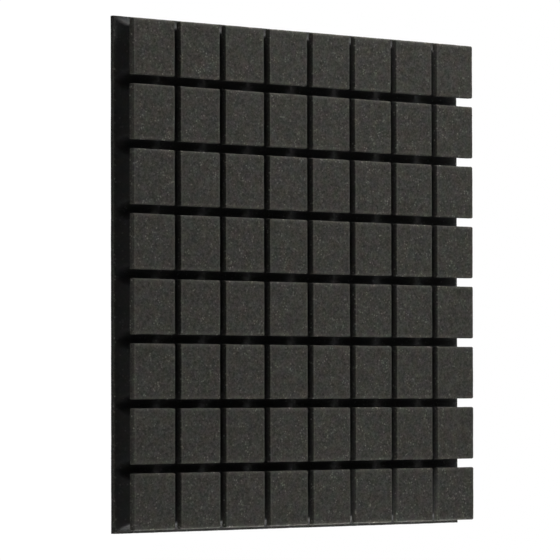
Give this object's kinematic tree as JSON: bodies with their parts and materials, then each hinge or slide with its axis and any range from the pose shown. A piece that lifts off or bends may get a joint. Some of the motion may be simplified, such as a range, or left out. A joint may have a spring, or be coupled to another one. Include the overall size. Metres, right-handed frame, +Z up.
{
  "type": "acoustic panel",
  "caption": "Square acoustic foam tile: a grid of square blocks with undercut slots between them, on a thin rear sheet, glued flat to a wall.",
  "frame": {"origin": "middle of the flat rear face that is glued to the wall", "axes": "+Z up along the tile's height, +X along its width, +Y into the wall; the blocks face -Y"},
  "size_m": [0.6, 0.035, 0.6],
  "materials": {
    "row_foam": "open-cell polyurethane foam, charcoal, dull, cut faces with fine open cells",
    "sheet_foam": "open-cell polyurethane foam, charcoal, dull, flat saw-cut rear face"
  },
  "bodies": {
    "root": {"foam_row_1": "row_foam", "foam_row_2": "row_foam", "foam_row_3": "row_foam", "foam_row_4": "row_foam", "foam_row_5": "row_foam", "foam_row_6": "row_foam", "foam_row_7": "row_foam", "foam_row_8": "row_foam", "rear_sheet": "sheet_foam"}
  },
  "joints": []
}
